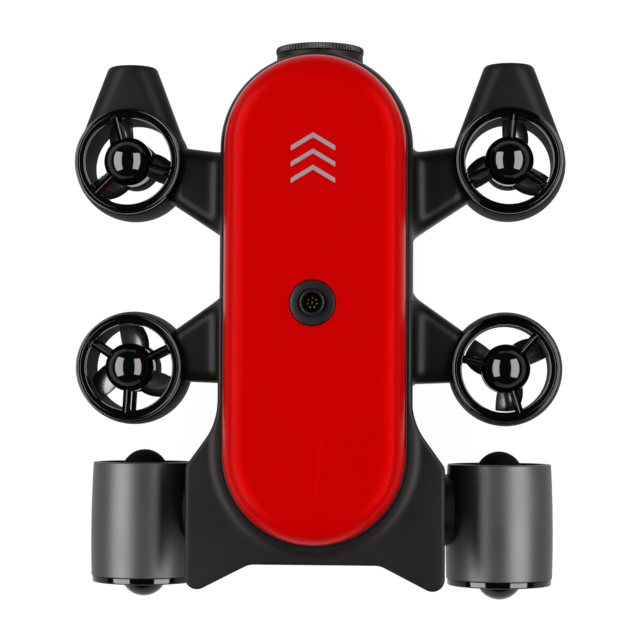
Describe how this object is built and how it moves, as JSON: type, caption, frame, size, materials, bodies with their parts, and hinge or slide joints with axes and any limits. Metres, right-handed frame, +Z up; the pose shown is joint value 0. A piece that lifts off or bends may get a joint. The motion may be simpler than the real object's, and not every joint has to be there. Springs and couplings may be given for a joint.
{
  "type": "underwater inspection rov",
  "caption": "Compact underwater inspection vehicle: stadium hull with a red cover, nose camera, tether socket, ducted thrusters on arms and beside a flat tail fin.",
  "frame": {"origin": "under the middle of the vehicle, on the surface that its pan stands on", "axes": "+X starboard, +Y ahead towards the camera, +Z up"},
  "size_m": [0.3464, 0.39, 0.165],
  "materials": {
    "hull_black": "satin",
    "cover_red": "satin",
    "gasket": "matte",
    "dark_metal": "anodised",
    "insulator": "matte",
    "gold_contact": "plated",
    "steel": "bright",
    "window_glass": "clear",
    "guard_black": "gloss",
    "blade_grey": "satin",
    "motor_steel": "bright",
    "winding": "varnished",
    "board_green": "satin",
    "battery_wrap": "satin",
    "tray_metal": "brushed",
    "reflector": "polished",
    "insert_brass": "bright"
  },
  "bodies": {
    "vehicle": {"main_hull": "hull_black", "bottom_pan": "hull_black", "pan_gasket": "gasket", "cover_gasket": "gasket", "top_cover": "cover_red", "tether_connector": "dark_metal", "connector_insert": "insulator", "connector_pins": "gold_contact", "connector_nut": "steel", "lens_ring": "dark_metal", "camera_barrel": "dark_metal", "camera_window": "window_glass", "camera_lens": "insulator", "camera_board": "board_green", "battery_pack": "battery_wrap", "electronics_tray": "tray_metal", "main_board": "board_green", "speed_controllers": "insulator", "pan_screws": "steel", "arm_screws": "steel", "accessory_inserts": "insert_brass", "arm_front_right": "hull_black", "arm_front_left": "hull_black", "arm_rear_right": "hull_black", "arm_rear_left": "hull_black", "tail_duct_right": "hull_black", "lamp_lens_right": "window_glass", "lamp_reflector_right": "reflector", "lamp_board_right": "board_green", "tail_duct_left": "hull_black", "lamp_lens_left": "window_glass", "lamp_reflector_left": "reflector", "lamp_board_left": "board_green", "guard_front_right": "guard_black", "stator_front_right": "winding", "guard_front_left": "guard_black", "stator_front_left": "winding", "guard_rear_right": "guard_black", "stator_rear_right": "winding", "guard_rear_left": "guard_black", "stator_rear_left": "winding", "guard_tail_right": "guard_black", "stator_tail_right": "winding", "guard_tail_left": "guard_black", "stator_tail_left": "winding"},
    "propeller_set_front_right": {"propeller_front_right": "blade_grey", "rotor_front_right": "motor_steel"},
    "propeller_set_front_left": {"propeller_front_left": "blade_grey", "rotor_front_left": "motor_steel"},
    "propeller_set_rear_right": {"propeller_rear_right": "blade_grey", "rotor_rear_right": "motor_steel"},
    "propeller_set_rear_left": {"propeller_rear_left": "blade_grey", "rotor_rear_left": "motor_steel"},
    "propeller_set_tail_right": {"propeller_tail_right": "blade_grey", "rotor_tail_right": "motor_steel"},
    "propeller_set_tail_left": {"propeller_tail_left": "blade_grey", "rotor_tail_left": "motor_steel"}
  },
  "joints": [
    {"name": "spin_front_right", "type": "hinge", "parent": "vehicle", "child": "propeller_set_front_right", "pos_m": [0.1332, 0.1132, 0.1078], "axis": [0, 0, 1], "continuous": true},
    {"name": "spin_front_left", "type": "hinge", "parent": "vehicle", "child": "propeller_set_front_left", "pos_m": [-0.1332, 0.1132, 0.1078], "axis": [0, 0, 1], "continuous": true},
    {"name": "spin_rear_right", "type": "hinge", "parent": "vehicle", "child": "propeller_set_rear_right", "pos_m": [0.131, -0.0311, 0.1078], "axis": [0, 0, 1], "continuous": true},
    {"name": "spin_rear_left", "type": "hinge", "parent": "vehicle", "child": "propeller_set_rear_left", "pos_m": [-0.131, -0.0311, 0.1078], "axis": [0, 0, 1], "continuous": true},
    {"name": "spin_tail_right", "type": "hinge", "parent": "vehicle", "child": "propeller_set_tail_right", "pos_m": [0.1278, -0.155, 0.058], "axis": [0, -1, 0], "continuous": true},
    {"name": "spin_tail_left", "type": "hinge", "parent": "vehicle", "child": "propeller_set_tail_left", "pos_m": [-0.1278, -0.155, 0.058], "axis": [0, -1, 0], "continuous": true}
  ]
}
